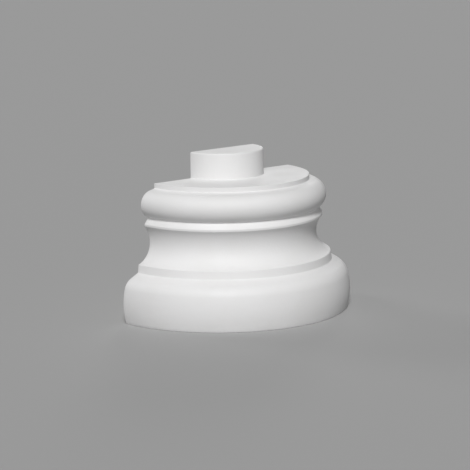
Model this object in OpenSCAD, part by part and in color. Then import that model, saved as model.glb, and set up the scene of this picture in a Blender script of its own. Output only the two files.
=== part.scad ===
// Base of a half column: a turned base moulding, cut in half so that it stands against a wall.
// Millimetres. The floor is z = 0, the wall is the plane y = 0, and the moulding swells towards -Y.
// The Z axis is the column's axis. Each size called "out" is a reach beyond the seat's edge.

/* [Seat and spigot] */
// Radius of the flat seat that the shaft stands on
seat_r = 104.5; // [80:0.5:140]
// Height of the plain band under the seat's edge
seat_band_h = 5.9; // [2:0.1:12]
// Radius of the half-round spigot that the hollow shaft drops over
spigot_r = 49.6; // [30:0.1:70]
// Height of the spigot above the seat
spigot_h = 31.6; // [10:0.2:60]
// Rounding of the spigot's top edge
spigot_edge_r = 2; // [0.5:0.1:5]

/* [Upper roll] */
// Height of the upper roll, from the lip to the seat's band
upper_roll_h = 33.8; // [26:0.1:42]
// Reach of the upper roll's belly
upper_belly_out = 20.3; // [14:0.1:24]
// Depth of the neck under the upper roll, measured in from its belly
neck_in = 10; // [6:0.1:12]
// Slope of the upper roll's shoulder, in degrees
upper_slope = 14; // [5:0.5:25]

/* [Lip over the hollow] */
// Height of the lip's sloping top
lip_slope_h = 7.3; // [4:0.1:12]
// Height of the lip's upright edge
lip_edge_h = 2.4; // [1:0.1:4]
// Reach of the lip's edge
lip_out = 15.4; // [12:0.1:20]

/* [Hollow and its fillet] */
// Height of the hollow, from the fillet's top to the lip
hollow_h = 44.5; // [35:0.1:60]
// Height of the hollow's narrowest place above the fillet
waist_up = 24.6; // [18:0.1:30]
// Reach of the hollow's narrowest place
waist_out = 8.2; // [2:0.1:11]
// Height of the plain fillet between the lower roll and the hollow
fillet_h = 9.6; // [4:0.1:16]
// Reach of the fillet at its foot
fillet_out = 26.7; // [20:0.1:32]
// Narrowing of the fillet from its foot to its top
fillet_taper = 1.2; // [0:0.1:3]

/* [Lower roll] */
// Height of the lower roll, from the floor to the fillet
lower_roll_h = 58.5; // [46:0.1:72]
// Reach of the lower roll at the floor
foot_out = 45.5; // [40:0.1:60]
// Swelling of the lower roll's belly past its foot
belly_swell = 3.3; // [1:0.1:6]
// Height of the lower roll's widest place
belly_up = 22.6; // [14:0.1:30]
// Radius of the lower roll's flank above its widest place
flank_r = 79; // [60:0.5:120]
// Radius of the lower roll's shoulder
shoulder_r = 18.1; // [8:0.1:24]
// Slope of the lower roll's top, in degrees
lower_slope = 27.2; // [15:0.1:35]

/* [Hidden] */
// Sides of a full turn
$fn = 180;
// Largest turn between neighbouring points of a round in the section, in degrees
arc_step = 4;
// How far the block that cuts the base in half stands past it
cut_clearance = 1;

// Heights of the members' edges above the floor
fillet_z = lower_roll_h;
hollow_z = fillet_z + fillet_h;
waist_z = hollow_z + waist_up;
lip_z = hollow_z + hollow_h;
lip_slope_z = lip_z + lip_edge_h;
neck_z = lip_slope_z + lip_slope_h;
seat_band_z = neck_z + upper_roll_h;
seat_z = seat_band_z + seat_band_h;
spigot_z = seat_z + spigot_h;

// Radii of the members about the column's axis
foot_r = seat_r + foot_out;
lower_belly_r = foot_r + belly_swell;
fillet_r = seat_r + fillet_out;
hollow_r = fillet_r - fillet_taper;
waist_r = seat_r + waist_out;
lip_r = seat_r + lip_out;
upper_belly_r = seat_r + upper_belly_out;

// Unit vector at an angle
function ray(angle) = [cos(angle), sin(angle)];

// Direction of the line from one point to another
function bearing(from, to) = atan2(to.y - from.y, to.x - from.x);

// Radius of an arc that stands upright at one end and moves sideways by run over a height of rise
function arc_r(rise, run) = (rise * rise + run * run) / (2 * run);

// Points of an arc about a centre, both ends included unless first is 1, which leaves out the start
function arc(centre, r, start, end, first = 0) =
    let (steps = ceil(abs(end - start) / arc_step))
    [for (i = [first : steps]) centre + r * ray(start + (end - start) * i / steps)];

// Lower roll: the swell from the foot to the belly, the flank above it, the tighter shoulder arc that the
// flank runs into, and a slope up to the fillet. Swell and flank both stand upright at the belly.
// The shoulder's centre lies shoulder_r below the slope, and inner_r from the flank's centre.
function lower_roll() =
    let (
        swell_r = arc_r(belly_up, belly_swell),
        swell_c = [lower_belly_r - swell_r, belly_up],
        flank_c = [lower_belly_r - flank_r, belly_up],
        inner_r = flank_r - shoulder_r,
        offset = [fillet_r, fillet_z] - shoulder_r * ray(90 - lower_slope) - flank_c,
        along = offset * ray(-lower_slope),
        slope_run = sqrt(along * along - offset * offset + inner_r * inner_r) - along,
        shoulder_c = flank_c + offset + slope_run * ray(-lower_slope),
        foot_angle = bearing(swell_c, [foot_r, 0]),
        join_angle = bearing(flank_c, shoulder_c)
    )
    concat(
        arc(swell_c, swell_r, foot_angle, 0),
        arc(flank_c, flank_r, 0, join_angle, first = 1),
        arc(shoulder_c, shoulder_r, join_angle, 90 - lower_slope, first = 1),
        [[fillet_r, fillet_z]]
    );

// Hollow: two arcs that both stand upright at the waist
function hollow() =
    let (
        lower_r = arc_r(waist_up, hollow_r - waist_r),
        upper_r = arc_r(hollow_h - waist_up, lip_r - waist_r),
        lower_c = [waist_r + lower_r, waist_z],
        upper_c = [waist_r + upper_r, waist_z],
        fillet_angle = 360 + bearing(lower_c, [hollow_r, hollow_z]),
        lip_angle = bearing(upper_c, [lip_r, lip_z])
    )
    concat(
        arc(lower_c, lower_r, fillet_angle, 180),
        arc(upper_c, upper_r, 180, lip_angle, first = 1)
    );

// Upper roll: one arc from the neck, upright at the belly, that leaves along the slope of the shoulder.
// Its radius r solves (rise - lean * r)^2 + (r - neck_in)^2 = r^2.
function upper_roll() =
    let (
        lean = 1 / cos(upper_slope) - tan(upper_slope),
        rise = upper_roll_h - upper_belly_out * tan(upper_slope),
        half_sum = rise * lean + neck_in,
        root = sqrt(half_sum * half_sum - lean * lean * (rise * rise + neck_in * neck_in)),
        r = (half_sum - root) / (lean * lean),
        centre = [upper_belly_r - r, neck_z + rise - lean * r],
        neck_angle = bearing(centre, [upper_belly_r - neck_in, neck_z])
    )
    concat(
        arc(centre, r, neck_angle, 0),
        arc(centre, r, 0, 90 - upper_slope, first = 1),
        [[seat_r, seat_band_z]]
    );

// Spigot: straight sides and a rounded top edge
function spigot() =
    let (edge_c = [spigot_r, spigot_z] - [spigot_edge_r, spigot_edge_r])
    concat(
        [[spigot_r, seat_z]],
        arc(edge_c, spigot_edge_r, 0, 90)
    );

// Half of the section, from the middle of the floor out and up to the middle of the spigot's top
module section() {
    polygon(concat(
        [[0, 0]],
        lower_roll(),
        hollow(),
        [[lip_r, lip_slope_z]],
        upper_roll(),
        [[seat_r, seat_z]],
        spigot(),
        [[0, spigot_z]]
    ));
}

// Everything behind the wall plane
module behind_wall() {
    reach = lower_belly_r + cut_clearance;
    translate([-reach, 0, -cut_clearance])
        cube([2 * reach, reach, spigot_z + 2 * cut_clearance]);
}

// The section turned about the column's axis, from a start behind the wall, and cut in half at the wall
module half_column_base() {
    color("white")
        difference() {
            rotate([0, 0, 90])
                rotate_extrude()
                    section();
            behind_wall();
        }
}

half_column_base();
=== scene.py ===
import math

import bmesh
import bpy
from mathutils import Matrix, Vector


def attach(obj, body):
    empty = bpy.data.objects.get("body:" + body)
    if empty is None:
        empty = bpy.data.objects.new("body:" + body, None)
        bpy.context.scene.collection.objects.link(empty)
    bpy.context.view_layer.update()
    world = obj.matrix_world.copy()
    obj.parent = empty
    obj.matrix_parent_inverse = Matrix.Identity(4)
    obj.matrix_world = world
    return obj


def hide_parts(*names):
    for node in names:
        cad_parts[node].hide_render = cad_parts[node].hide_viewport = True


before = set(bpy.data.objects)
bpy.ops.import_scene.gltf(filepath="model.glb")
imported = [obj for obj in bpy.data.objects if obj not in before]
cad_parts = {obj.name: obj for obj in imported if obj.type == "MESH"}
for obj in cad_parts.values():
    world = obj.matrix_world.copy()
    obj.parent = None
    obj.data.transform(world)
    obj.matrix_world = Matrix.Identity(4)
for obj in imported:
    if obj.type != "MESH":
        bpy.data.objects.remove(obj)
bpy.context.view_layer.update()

scene = bpy.context.scene

# ---------------------------------------------------------------------------------------------
# Half-column base: one casting of rigid polyurethane foam with a smooth moulded skin, primed
# matt white in the factory. It is poured in an open mould, so its back and its underside are
# planed flat afterwards. A hollow half shaft drops over the spigot and stands on the seat.
# ---------------------------------------------------------------------------------------------
MM = 0.001

# Radii about the column's axis and heights above the floor, in millimetres
SEAT_R = 104.5
SEAT_Z = 162.0
SEAT_BAND_Z = 156.1
SPIGOT_R = 49.6
SPIGOT_Z = 193.6
UPPER_BELLY_R = 124.8
NECK_R = 114.8
NECK_Z = 122.3
LIP_R = 119.9
LIP_TOP_Z = 115.0
LIP_Z = 112.6
WAIST_R = 112.7
WAIST_Z = 92.7
HOLLOW_R = 130.0
HOLLOW_Z = 68.1
FILLET_R = 131.2
FILLET_Z = 58.5
LOWER_BELLY_R = 153.3
LOWER_BELLY_Z = 22.6
FOOT_R = 150.0

# Radii of the lower roll's two arcs in the section, and slopes of the two rolls' shoulders
FLANK_ARC_R = 79.0
SHOULDER_ARC_R = 18.1
UPPER_SLOPE = math.radians(14.0)
LOWER_SLOPE = math.radians(27.2)

# How far the mould and the primer ease each arris and fill each inner corner
FOOT_EASE = 0.8
FILLET_FOOT_EASE = 0.8
FILLET_EASE = 0.8
LIP_EASE = 0.35
SEAT_BAND_EASE = 0.8
SEAT_EASE = 0.7
SPIGOT_FOOT_EASE = 1.1
SPIGOT_TOP_EASE = 2.0
BACK_EASE = 0.6

# Radius within which the underside and the spigot's top are each closed by one flat face
PLATE_R = 40.0
# Largest turn between neighbouring points of a round in the section
SECTION_TURN = math.radians(2.5)
HALF_TURN_STEPS = 150
EASE_SEGMENTS = 3
BACK_SEGMENTS = 2
SHARP_ANGLE = math.radians(38)
# Points closer than this are one point
WELD = 0.01 * MM


def ray(angle):
    return Vector((math.cos(angle), math.sin(angle)))


def bearing(start, end):
    return math.atan2(end.y - start.y, end.x - start.x)


def upright_arc_r(rise, run):
    """Radius of an arc that stands upright at one end and moves sideways by run over a rise."""
    return (rise * rise + run * run) / (2 * run)


class Section:
    """Half of the base's section, drawn in the plane y = 0 as one chain of edges."""

    def __init__(self, x, z):
        self.mesh = bmesh.new()
        self.tip = self.mesh.verts.new((x * MM, 0, z * MM))
        self.eased = []

    def line(self, x, z, ease=0):
        """Straight on to a point, whose corner may be eased later."""
        self.tip = bmesh.ops.extrude_vert_indiv(self.mesh, verts=[self.tip])["verts"][0]
        self.tip.co = (x * MM, 0, z * MM)
        if ease:
            self.eased.append((self.tip, ease * MM))

    def arc(self, centre, turn, ease=0):
        """Round a centre, anticlockwise where the turn is positive, seen from the front."""
        made = bmesh.ops.spin(
            self.mesh,
            geom=[self.tip],
            cent=(centre.x * MM, 0, centre.y * MM),
            axis=(0, -1, 0),
            angle=turn,
            steps=math.ceil(abs(turn) / SECTION_TURN),
        )
        self.tip = made["geom_last"][0]
        if ease:
            self.eased.append((self.tip, ease * MM))

    def ease_corners(self):
        for corner, reach in self.eased:
            bmesh.ops.bevel(
                self.mesh,
                geom=[corner],
                offset=reach,
                offset_type="OFFSET",
                affect="VERTICES",
                segments=EASE_SEGMENTS,
                profile=0.5,
                material=-1,
            )


def lower_roll_arcs():
    """Centres and turns of the lower roll's swell, flank and shoulder.

    The shoulder's centre lies its own radius below the slope, and inner_r from the flank's centre.
    """
    swell_r = upright_arc_r(LOWER_BELLY_Z, LOWER_BELLY_R - FOOT_R)
    swell_c = Vector((LOWER_BELLY_R - swell_r, LOWER_BELLY_Z))
    flank_c = Vector((LOWER_BELLY_R - FLANK_ARC_R, LOWER_BELLY_Z))
    down_slope = ray(-LOWER_SLOPE)
    above_slope = ray(math.pi / 2 - LOWER_SLOPE)
    offset = Vector((FILLET_R, FILLET_Z)) - SHOULDER_ARC_R * above_slope - flank_c
    along = offset.dot(down_slope)
    inner_r = FLANK_ARC_R - SHOULDER_ARC_R
    slope_run = math.sqrt(along * along - offset.length_squared + inner_r * inner_r) - along
    shoulder_c = flank_c + offset + slope_run * down_slope
    join_angle = bearing(flank_c, shoulder_c)
    return (
        (swell_c, -bearing(swell_c, Vector((FOOT_R, 0)))),
        (flank_c, join_angle),
        (shoulder_c, math.pi / 2 - LOWER_SLOPE - join_angle),
    )


def hollow_arcs():
    """Centres and turns of the hollow's two arcs, which both stand upright at the waist."""
    waist = Vector((WAIST_R, WAIST_Z))
    lower_c = waist + Vector((upright_arc_r(WAIST_Z - HOLLOW_Z, HOLLOW_R - WAIST_R), 0))
    upper_c = waist + Vector((upright_arc_r(LIP_Z - WAIST_Z, LIP_R - WAIST_R), 0))
    return (
        (lower_c, -math.pi - bearing(lower_c, Vector((HOLLOW_R, HOLLOW_Z)))),
        (upper_c, bearing(upper_c, Vector((LIP_R, LIP_Z))) - math.pi),
    )


def upper_roll_arc():
    """Centre and turn of the upper roll, which leaves along the slope of its shoulder.

    Its radius solves (rise - lean * roll_r)^2 + (roll_r - neck_in)^2 = roll_r^2.
    """
    lean = 1 / math.cos(UPPER_SLOPE) - math.tan(UPPER_SLOPE)
    rise = SEAT_BAND_Z - NECK_Z - (UPPER_BELLY_R - SEAT_R) * math.tan(UPPER_SLOPE)
    neck_in = UPPER_BELLY_R - NECK_R
    half_sum = rise * lean + neck_in
    root = math.sqrt(half_sum ** 2 - lean * lean * (rise * rise + neck_in * neck_in))
    roll_r = (half_sum - root) / (lean * lean)
    centre = Vector((UPPER_BELLY_R - roll_r, NECK_Z + rise - lean * roll_r))
    return centre, math.pi / 2 - UPPER_SLOPE - bearing(centre, Vector((NECK_R, NECK_Z)))


section = Section(PLATE_R, 0)
section.line(FOOT_R, 0, FOOT_EASE)
for roll_arc in lower_roll_arcs():
    section.arc(*roll_arc)
section.line(FILLET_R, FILLET_Z, FILLET_FOOT_EASE)
section.line(HOLLOW_R, HOLLOW_Z, FILLET_EASE)
below_waist, above_waist = hollow_arcs()
section.arc(*below_waist)
section.arc(*above_waist, LIP_EASE)
section.line(LIP_R, LIP_TOP_Z, LIP_EASE)
section.line(NECK_R, NECK_Z)
section.arc(*upper_roll_arc())
section.line(SEAT_R, SEAT_BAND_Z, SEAT_BAND_EASE)
section.line(SEAT_R, SEAT_Z, SEAT_EASE)
section.line(SPIGOT_R, SEAT_Z, SPIGOT_FOOT_EASE)
section.line(SPIGOT_R, SPIGOT_Z, SPIGOT_TOP_EASE)
section.line(PLATE_R, SPIGOT_Z)
section.ease_corners()

# Turned through half a circle, from one end of the wall face round the front to the other
casting = section.mesh
bmesh.ops.spin(
    casting,
    geom=casting.verts[:] + casting.edges[:],
    cent=(0, 0, 0),
    axis=(0, 0, -1),
    angle=math.pi,
    steps=HALF_TURN_STEPS,
)
bmesh.ops.remove_doubles(casting, verts=casting.verts[:], dist=WELD)


def open_edges():
    return [edge for edge in casting.edges if edge.is_boundary]


def on_wall(edge):
    return all(abs(vert.co.y) < WELD for vert in edge.verts)


def close(rim):
    """Closes a run of open edges with one flat face."""
    return bmesh.ops.contextual_create(casting, geom=rim)["faces"][0]


# The middles of the underside and of the spigot's top, and then the wall face
half_height = SPIGOT_Z * MM / 2
plate_arcs = [edge for edge in open_edges() if not on_wall(edge)]
close([edge for edge in plate_arcs if edge.verts[0].co.z < half_height])
close([edge for edge in plate_arcs if edge.verts[0].co.z > half_height])
wall_face = close(open_edges())
bmesh.ops.recalc_face_normals(casting, faces=casting.faces[:])

# The planed back's arris is rubbed down all round
bmesh.ops.bevel(
    casting,
    geom=wall_face.edges[:],
    offset=BACK_EASE * MM,
    offset_type="OFFSET",
    affect="EDGES",
    segments=BACK_SEGMENTS,
    profile=0.5,
    material=-1,
)
bmesh.ops.remove_doubles(casting, verts=casting.verts[:], dist=WELD)
bmesh.ops.recalc_face_normals(casting, faces=casting.faces[:])

# Level faces and the wall face are shaded flat. The planed back and underside have no skin.
SKIN, PLANED = 0, 1
SQUARE_ON = 0.9999
for face in casting.faces:
    faces_wall = face.normal.y > SQUARE_ON
    faces_down = face.normal.z < -SQUARE_ON
    faces_up = face.normal.z > SQUARE_ON
    face.smooth = not (faces_wall or faces_down or faces_up)
    face.material_index = PLANED if faces_wall or faces_down else SKIN

base_mesh = bpy.data.meshes.new("half_column_base_casting")
casting.to_mesh(base_mesh)
casting.free()
base_mesh.set_sharp_from_angle(angle=SHARP_ANGLE)
base = bpy.data.objects.new("half_column_base_casting", base_mesh)
scene.collection.objects.link(base)


class Wire:
    """One output of a node. Arithmetic on it adds Math nodes."""

    def __init__(self, tree, socket=None):
        self.tree = tree
        self.socket = socket

    def add(self, kind, settings=None, inputs=None, output=0):
        """Adds a node, sets it up, fills or links its inputs, and gives one of its outputs."""
        node = self.tree.nodes.new(kind)
        for name, value in (settings or {}).items():
            setattr(node, name, value)
        for name, value in (inputs or {}).items():
            if isinstance(value, Wire):
                self.tree.links.new(value.socket, node.inputs[name])
            else:
                node.inputs[name].default_value = value
        return Wire(self.tree, node.outputs[output])

    def math(self, operation, *values):
        return self.add("ShaderNodeMath", {"operation": operation}, dict(enumerate(values)))

    def __add__(self, other):
        return self.math("ADD", self, other)

    def __sub__(self, other):
        return self.math("SUBTRACT", self, other)

    def __rsub__(self, other):
        return self.math("SUBTRACT", other, self)

    def __mul__(self, other):
        return self.math("MULTIPLY", self, other)

    __radd__ = __add__
    __rmul__ = __mul__


def new_finish(name):
    """A material with only its shader, and a wire to start its other nodes from."""
    material = bpy.data.materials.new(name)
    material.use_nodes = True
    tree = material.node_tree
    return material, tree.nodes["Principled BSDF"], Wire(tree)


# The colour sockets of a Mix node, whose names its number and vector sockets share
MIX_FIRST_COLOUR, MIX_SECOND_COLOUR, MIX_COLOUR_OUT = 6, 7, 2


def mixed(start, mask, first, second):
    """The first colour where the mask is 0 and the second where it is 1."""
    values = {"Factor": mask, MIX_FIRST_COLOUR: first, MIX_SECOND_COLOUR: second}
    return start.add("ShaderNodeMix", {"data_type": "RGBA"}, values, MIX_COLOUR_OUT)


def noise(start, place, size, detail):
    """Cloudy pattern from 0 to 1 whose lumps are about that many millimetres across."""
    values = {"Vector": place, "Scale": 1 / (size * MM), "Detail": detail}
    return start.add("ShaderNodeTexNoise", None, values)


def ramp(start, value, low, high):
    """0 below low, 1 above high, and a smooth rise between."""
    settings = {"interpolation_type": "SMOOTHSTEP"}
    values = {"Value": value, "From Min": low, "From Max": high}
    return start.add("ShaderNodeMapRange", settings, values)


def relief(start, height):
    """The bumps of a height given in millimetres."""
    return start.add("ShaderNodeBump", None, {"Distance": MM, "Height": height})


def plug(shader, start, values):
    """Fills or links the sockets of a shader."""
    for name, value in values.items():
        if isinstance(value, Wire):
            start.tree.links.new(value.socket, shader.inputs[name])
        else:
            shader.inputs[name].default_value = value


# Moulded skin under sprayed primer: nearly even, with a fine stipple from the spray, slow waves
# left by the mould, and patches where the primer lies a little thinner and more matt. Sizes and
# depths are in millimetres. A pattern fades in between its two edges, which are values of its
# noise, and a tone is its share of the darker colour.
PRIMER = (0.800, 0.797, 0.799, 1)
THIN_PRIMER = (0.768, 0.764, 0.760, 1)
PRIMER_SPECULAR = 0.42
PRIMER_ROUGHNESS = 0.55
PATCH_ROUGHNESS = 0.08
STIPPLE_ROUGHNESS = 0.05
STIPPLE_SIZE = 1.7
STIPPLE_DEPTH = 0.085
STIPPLE_TONE = 0.4
WAVE_SIZE = 9
WAVE_DEPTH = 0.10
PATCH_SIZE = 45
PATCH_EDGES = (0.35, 0.68)
PATCH_TONE = 0.6

skin, skin_shader, skin_start = new_finish("primed_skin")
skin_place = skin_start.add("ShaderNodeTexCoord", output="Object")
stipple = noise(skin_start, skin_place, STIPPLE_SIZE, detail=2)
wave = noise(skin_start, skin_place, WAVE_SIZE, detail=1)
patch_noise = noise(skin_start, skin_place, PATCH_SIZE, detail=3)
patch = ramp(skin_start, patch_noise, *PATCH_EDGES)
skin_tone = patch * PATCH_TONE + stipple * STIPPLE_TONE
plug(skin_shader, skin_start, {
    "Base Color": mixed(skin_start, skin_tone, PRIMER, THIN_PRIMER),
    "Roughness": PRIMER_ROUGHNESS + patch * PATCH_ROUGHNESS + stipple * STIPPLE_ROUGHNESS,
    "Specular IOR Level": PRIMER_SPECULAR,
    "Normal": relief(skin_start, stipple * STIPPLE_DEPTH + wave * WAVE_DEPTH),
})
base_mesh.materials.append(skin)

# Planed foam under a thin coat: creamier, with open pores and faint marks along the plane's way.
# The pores are also painted darker, which is painted shade in their pits. A pore's edges are
# distances from its middle, in pore spacings, that its noise spreads.
THIN_COAT = (0.690, 0.680, 0.635, 1)
# Painted shade for the inside of the pores
PORE_PAINTED_SHADE = (0.520, 0.505, 0.450, 1)
PLANED_SPECULAR = 0.3
PLANED_ROUGHNESS = 0.74
PORE_ROUGHNESS = 0.16
PORE_SPACING = 1.9
PORE_EDGES = (0.272, 0.425)
PORE_SPREAD_SIZE = 6
PORE_SPREAD = 0.5
PORE_DEPTH = 0.35
PORE_PAINTED_SHADE_TONE = 0.6
MARK_LENGTH = 90
MARK_WIDTH = 1.6
MARK_DEPTH = 0.09
MARK_TONE = 0.15
CLOUD_SIZE = 60
CLOUD_EDGES = (0.3, 0.7)
CLOUD_TONE = 0.25

planed, planed_shader, planed_start = new_finish("planed_foam")
planed_place = planed_start.add("ShaderNodeTexCoord", output="Object")
pore_distance = planed_start.add(
    "ShaderNodeTexVoronoi",
    {"feature": "F1"},
    {"Vector": planed_place, "Scale": 1 / (PORE_SPACING * MM)},
)
pore_spread = noise(planed_start, planed_place, PORE_SPREAD_SIZE, detail=2) * PORE_SPREAD
pore = 1 - ramp(planed_start, pore_distance + pore_spread, *PORE_EDGES)
mark_scale = (1 / (MARK_LENGTH * MM), 1 / (MARK_WIDTH * MM), 1 / (MARK_WIDTH * MM))
mark_place = planed_start.add(
    "ShaderNodeMapping", None, {"Vector": planed_place, "Scale": mark_scale}
)
mark = planed_start.add(
    "ShaderNodeTexNoise", None, {"Vector": mark_place, "Scale": 1, "Detail": 2}
)
cloud_noise = noise(planed_start, planed_place, CLOUD_SIZE, detail=3)
cloud = ramp(planed_start, cloud_noise, *CLOUD_EDGES)
# The cloud and the plane's marks are the foam's own tone, and the pores' share is painted shade
planed_tone_and_pore_shade = cloud * CLOUD_TONE + mark * MARK_TONE + pore * PORE_PAINTED_SHADE_TONE
plug(planed_shader, planed_start, {
    "Base Color": mixed(planed_start, planed_tone_and_pore_shade, THIN_COAT, PORE_PAINTED_SHADE),
    "Roughness": PLANED_ROUGHNESS + pore * PORE_ROUGHNESS,
    "Specular IOR Level": PLANED_SPECULAR,
    "Normal": relief(planed_start, mark * MARK_DEPTH - pore * PORE_DEPTH),
})
base_mesh.materials.append(planed)

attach(base, "root")
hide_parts("half_column_base")

# ---------------------------------------------------------------------------------------------
# Studio floor: a wide plain disc of pale grey card that runs out past the view on every side.
# The base stands on it.
# ---------------------------------------------------------------------------------------------
FLOOR_R = 14
FLOOR_SIDES = 96
FLOOR_GREY = (0.40, 0.40, 0.40, 1)
FLOOR_ROUGHNESS = 0.95
FLOOR_SPECULAR = 0.1

disc = bmesh.new()
bmesh.ops.create_circle(disc, cap_ends=True, segments=FLOOR_SIDES, radius=FLOOR_R)
floor_mesh = bpy.data.meshes.new("studio_floor")
disc.to_mesh(floor_mesh)
disc.free()
floor = bpy.data.objects.new("studio_floor", floor_mesh)
scene.collection.objects.link(floor)

card, card_shader, card_start = new_finish("grey_card")
plug(card_shader, card_start, {
    "Base Color": FLOOR_GREY,
    "Roughness": FLOOR_ROUGHNESS,
    "Specular IOR Level": FLOOR_SPECULAR,
})
floor_mesh.materials.append(card)

# ---------------------------------------------------------------------------------------------
# Camera: a long lens two and a half metres off, a little above the base and to its left. It is
# aimed at about half of the base's height and rolled by less than a degree.
# ---------------------------------------------------------------------------------------------
CAMERA_AZIMUTH = -39.718
CAMERA_ELEVATION = 10.629
CAMERA_ROLL = math.radians(0.684)
CAMERA_REACH = 2.5733
CAMERA_ASIDE = 0.01415
CAMERA_ABOVE = 0.08504
LENS = 161.46
SENSOR_WIDTH = 36


def towards(azimuth, elevation):
    """Unit vector from the base: azimuth 0 is its front, 90 its right end, 180 the wall."""
    turn, climb = math.radians(azimuth), math.radians(elevation)
    level = math.cos(climb)
    return Vector((math.sin(turn) * level, -math.cos(turn) * level, math.sin(climb)))


camera_data = bpy.data.cameras.new("camera")
camera_data.sensor_width = SENSOR_WIDTH
camera_data.lens = LENS
camera_data.clip_end = 2 * FLOOR_R
camera = bpy.data.objects.new("camera", camera_data)
scene.collection.objects.link(camera)
back = towards(CAMERA_AZIMUTH, CAMERA_ELEVATION)
right = Vector((0, 0, 1)).cross(back).normalized()
up = back.cross(right)
turned = Matrix((right, up, back)).transposed() @ Matrix.Rotation(-CAMERA_ROLL, 3, "Z")
placed = Matrix.Translation(CAMERA_REACH * back + CAMERA_ASIDE * right + CAMERA_ABOVE * up)
camera.matrix_world = placed @ turned.to_4x4()
scene.camera = camera

# ---------------------------------------------------------------------------------------------
# Light: far soft lamps that light the floor evenly. The key stands high behind the camera with a
# shadowless fill above it, and weak lamps behind the base draw its right outline and reach its
# back.
# ---------------------------------------------------------------------------------------------
LIGHT_REACH = 3
# Azimuth, elevation and width in degrees, strength, and whether the lamp casts a shadow
LIGHTS = {
    "key": (-40, 43, 14, 2.24, True),
    "fill": (-40, 50, 14, 0.84, False),
    "rim_right": (134, 19, 14, 0.33, True),
    "rim_back": (190, 22, 20, 0.42, True),
}

for name, (azimuth, elevation, width, strength, casts_shadow) in LIGHTS.items():
    lamp = bpy.data.lights.new(name, "SUN")
    lamp.angle = math.radians(width)
    lamp.energy = strength
    lamp.use_shadow = casts_shadow
    light = bpy.data.objects.new(name, lamp)
    direction = towards(azimuth, elevation)
    light.location = LIGHT_REACH * direction
    light.rotation_euler = direction.to_track_quat("Z", "Y").to_euler()
    scene.collection.objects.link(light)

# The room is nearly dark, but where a view looks past the floor it is as pale as the floor is
ROOM_GREY = (0.30, 0.30, 0.30, 1)
ROOM_GLOW = 0.04
room = bpy.data.worlds.new("studio_room")
room.use_nodes = True
room_background = room.node_tree.nodes["Background"]
room_background.inputs["Color"].default_value = ROOM_GREY
room_start = Wire(room.node_tree)
seen = room_start.add("ShaderNodeLightPath", output="Is Camera Ray")
glow = seen * (1 - ROOM_GLOW) + ROOM_GLOW
room.node_tree.links.new(glow.socket, room_background.inputs["Strength"])
scene.world = room

scene.view_settings.view_transform = "Standard"
